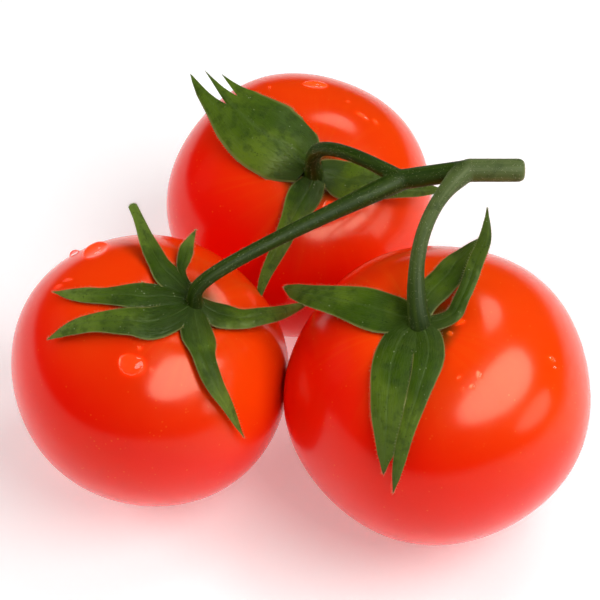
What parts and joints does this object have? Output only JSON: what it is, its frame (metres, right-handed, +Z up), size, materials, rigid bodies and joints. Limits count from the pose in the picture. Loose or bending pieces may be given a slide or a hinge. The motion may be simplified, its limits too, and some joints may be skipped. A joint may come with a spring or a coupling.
{
  "type": "truss of tomatoes",
  "caption": "Ripe red tomatoes on the vine, resting side by side, joined by one branching green stem with a star of leafy sepals on each fruit.",
  "frame": {"origin": "middle of the footprint, on the surface that the fruits rest on", "axes": "+Z up; +Y from the two front fruits towards the back one; +X from the left fruit towards the right one, the way the cut end of the stem points"},
  "size_m": [0.1344, 0.135, 0.0835],
  "materials": {
    "fruit_skin": "glossy ripe red tomato skin",
    "stem_green": "matt green stem with fine hairs",
    "sepal_green": "matt green leaf"
  },
  "bodies": {
    "root": {"tomato_left": "fruit_skin", "tomato_right": "fruit_skin", "tomato_back": "fruit_skin", "stem": "stem_green", "sepal_left_rear": "sepal_green", "sepal_left_rear_small": "sepal_green", "sepal_left_side_rear": "sepal_green", "sepal_left_side_front": "sepal_green", "sepal_left_front": "sepal_green", "sepal_left_inner": "sepal_green", "sepal_right_inner": "sepal_green", "sepal_right_front_broad": "sepal_green", "sepal_right_front_narrow": "sepal_green", "sepal_right_rear_tall": "sepal_green", "sepal_right_rear_short": "sepal_green", "sepal_back_three_tipped": "sepal_green", "sepal_back_front": "sepal_green", "sepal_back_side": "sepal_green"}
  },
  "joints": []
}
